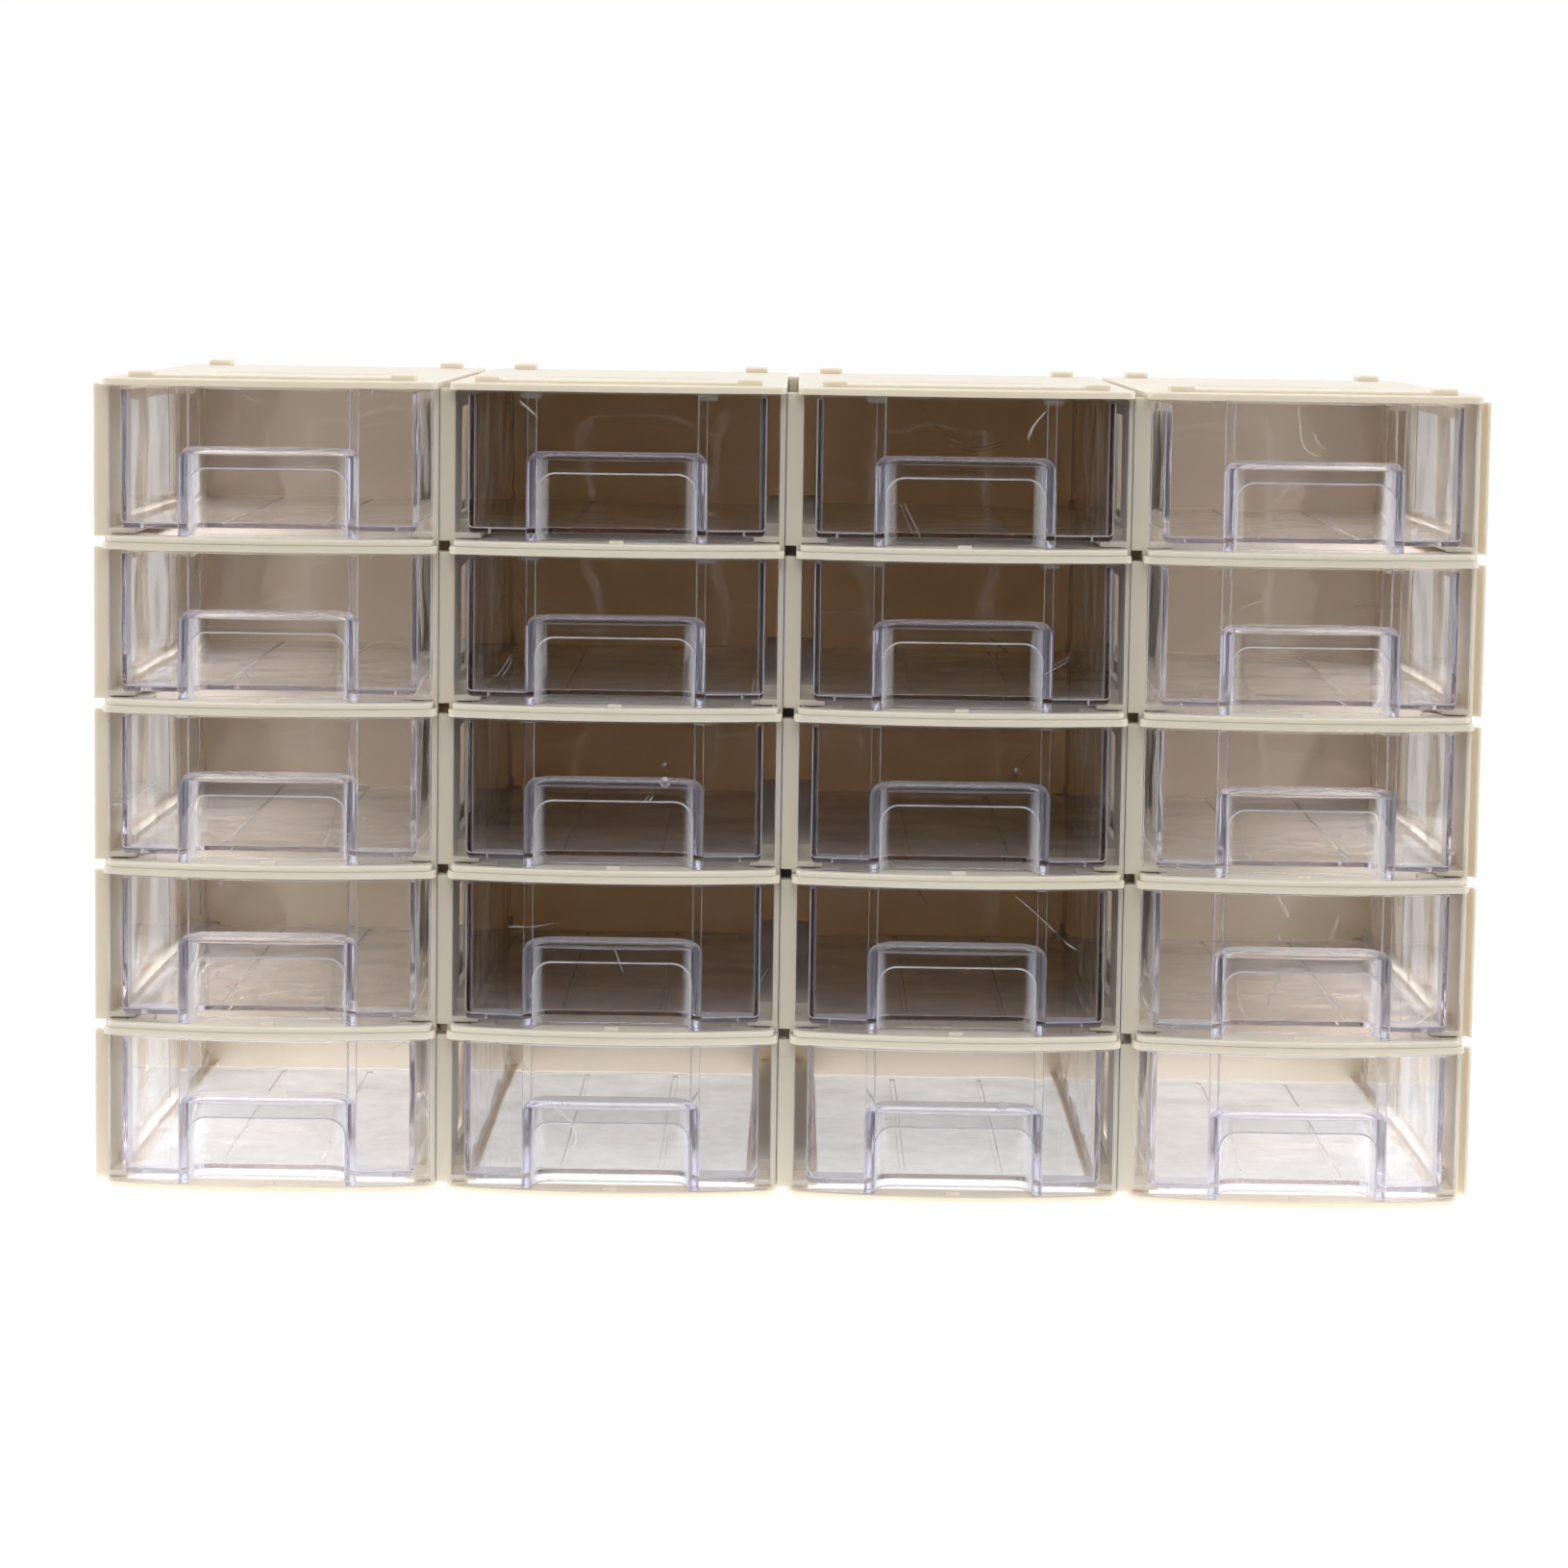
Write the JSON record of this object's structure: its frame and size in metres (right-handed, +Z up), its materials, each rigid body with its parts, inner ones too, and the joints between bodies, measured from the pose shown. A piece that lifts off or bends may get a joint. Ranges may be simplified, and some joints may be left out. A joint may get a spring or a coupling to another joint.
{
  "type": "stacked drawer organizer",
  "caption": "Bank of stackable cream plastic housings, each holding one clear sliding drawer with a recessed finger pull, for craft stamps and small parts.",
  "frame": {"origin": "bottom of the bank, in the middle of its width and depth", "axes": "+Z up, drawers open towards -Y, +X to the right seen from the front"},
  "size_m": [0.3926, 0.16, 0.2318],
  "materials": {
    "housing_plastic": "satin moulded cream plastic",
    "drawer_plastic": "clear glossy moulded plastic with a faint violet tint in its edges"
  },
  "bodies": {
    "bank": {"housing_r1_c1": "housing_plastic", "housing_r1_c2": "housing_plastic", "housing_r1_c3": "housing_plastic", "housing_r1_c4": "housing_plastic", "housing_r2_c1": "housing_plastic", "housing_r2_c2": "housing_plastic", "housing_r2_c3": "housing_plastic", "housing_r2_c4": "housing_plastic", "housing_r3_c1": "housing_plastic", "housing_r3_c2": "housing_plastic", "housing_r3_c3": "housing_plastic", "housing_r3_c4": "housing_plastic", "housing_r4_c1": "housing_plastic", "housing_r4_c2": "housing_plastic", "housing_r4_c3": "housing_plastic", "housing_r4_c4": "housing_plastic", "housing_r5_c1": "housing_plastic", "housing_r5_c2": "housing_plastic", "housing_r5_c3": "housing_plastic", "housing_r5_c4": "housing_plastic"},
    "drawer_r1_c1": {"drawer_r1_c1": "drawer_plastic"},
    "drawer_r1_c2": {"drawer_r1_c2": "drawer_plastic"},
    "drawer_r1_c3": {"drawer_r1_c3": "drawer_plastic"},
    "drawer_r1_c4": {"drawer_r1_c4": "drawer_plastic"},
    "drawer_r2_c1": {"drawer_r2_c1": "drawer_plastic"},
    "drawer_r2_c2": {"drawer_r2_c2": "drawer_plastic"},
    "drawer_r2_c3": {"drawer_r2_c3": "drawer_plastic"},
    "drawer_r2_c4": {"drawer_r2_c4": "drawer_plastic"},
    "drawer_r3_c1": {"drawer_r3_c1": "drawer_plastic"},
    "drawer_r3_c2": {"drawer_r3_c2": "drawer_plastic"},
    "drawer_r3_c3": {"drawer_r3_c3": "drawer_plastic"},
    "drawer_r3_c4": {"drawer_r3_c4": "drawer_plastic"},
    "drawer_r4_c1": {"drawer_r4_c1": "drawer_plastic"},
    "drawer_r4_c2": {"drawer_r4_c2": "drawer_plastic"},
    "drawer_r4_c3": {"drawer_r4_c3": "drawer_plastic"},
    "drawer_r4_c4": {"drawer_r4_c4": "drawer_plastic"},
    "drawer_r5_c1": {"drawer_r5_c1": "drawer_plastic"},
    "drawer_r5_c2": {"drawer_r5_c2": "drawer_plastic"},
    "drawer_r5_c3": {"drawer_r5_c3": "drawer_plastic"},
    "drawer_r5_c4": {"drawer_r5_c4": "drawer_plastic"}
  },
  "joints": [
    {"name": "drawer_r1_c1_slide", "type": "slide", "parent": "bank", "child": "drawer_r1_c1", "axis": [0, -1, 0], "range_m": [0, 0.125]},
    {"name": "drawer_r1_c2_slide", "type": "slide", "parent": "bank", "child": "drawer_r1_c2", "axis": [0, -1, 0], "range_m": [0, 0.125]},
    {"name": "drawer_r1_c3_slide", "type": "slide", "parent": "bank", "child": "drawer_r1_c3", "axis": [0, -1, 0], "range_m": [0, 0.125]},
    {"name": "drawer_r1_c4_slide", "type": "slide", "parent": "bank", "child": "drawer_r1_c4", "axis": [0, -1, 0], "range_m": [0, 0.125]},
    {"name": "drawer_r2_c1_slide", "type": "slide", "parent": "bank", "child": "drawer_r2_c1", "axis": [0, -1, 0], "range_m": [0, 0.125]},
    {"name": "drawer_r2_c2_slide", "type": "slide", "parent": "bank", "child": "drawer_r2_c2", "axis": [0, -1, 0], "range_m": [0, 0.125]},
    {"name": "drawer_r2_c3_slide", "type": "slide", "parent": "bank", "child": "drawer_r2_c3", "axis": [0, -1, 0], "range_m": [0, 0.125]},
    {"name": "drawer_r2_c4_slide", "type": "slide", "parent": "bank", "child": "drawer_r2_c4", "axis": [0, -1, 0], "range_m": [0, 0.125]},
    {"name": "drawer_r3_c1_slide", "type": "slide", "parent": "bank", "child": "drawer_r3_c1", "axis": [0, -1, 0], "range_m": [0, 0.125]},
    {"name": "drawer_r3_c2_slide", "type": "slide", "parent": "bank", "child": "drawer_r3_c2", "axis": [0, -1, 0], "range_m": [0, 0.125]},
    {"name": "drawer_r3_c3_slide", "type": "slide", "parent": "bank", "child": "drawer_r3_c3", "axis": [0, -1, 0], "range_m": [0, 0.125]},
    {"name": "drawer_r3_c4_slide", "type": "slide", "parent": "bank", "child": "drawer_r3_c4", "axis": [0, -1, 0], "range_m": [0, 0.125]},
    {"name": "drawer_r4_c1_slide", "type": "slide", "parent": "bank", "child": "drawer_r4_c1", "axis": [0, -1, 0], "range_m": [0, 0.125]},
    {"name": "drawer_r4_c2_slide", "type": "slide", "parent": "bank", "child": "drawer_r4_c2", "axis": [0, -1, 0], "range_m": [0, 0.125]},
    {"name": "drawer_r4_c3_slide", "type": "slide", "parent": "bank", "child": "drawer_r4_c3", "axis": [0, -1, 0], "range_m": [0, 0.125]},
    {"name": "drawer_r4_c4_slide", "type": "slide", "parent": "bank", "child": "drawer_r4_c4", "axis": [0, -1, 0], "range_m": [0, 0.125]},
    {"name": "drawer_r5_c1_slide", "type": "slide", "parent": "bank", "child": "drawer_r5_c1", "axis": [0, -1, 0], "range_m": [0, 0.125]},
    {"name": "drawer_r5_c2_slide", "type": "slide", "parent": "bank", "child": "drawer_r5_c2", "axis": [0, -1, 0], "range_m": [0, 0.125]},
    {"name": "drawer_r5_c3_slide", "type": "slide", "parent": "bank", "child": "drawer_r5_c3", "axis": [0, -1, 0], "range_m": [0, 0.125]},
    {"name": "drawer_r5_c4_slide", "type": "slide", "parent": "bank", "child": "drawer_r5_c4", "axis": [0, -1, 0], "range_m": [0, 0.125]}
  ]
}
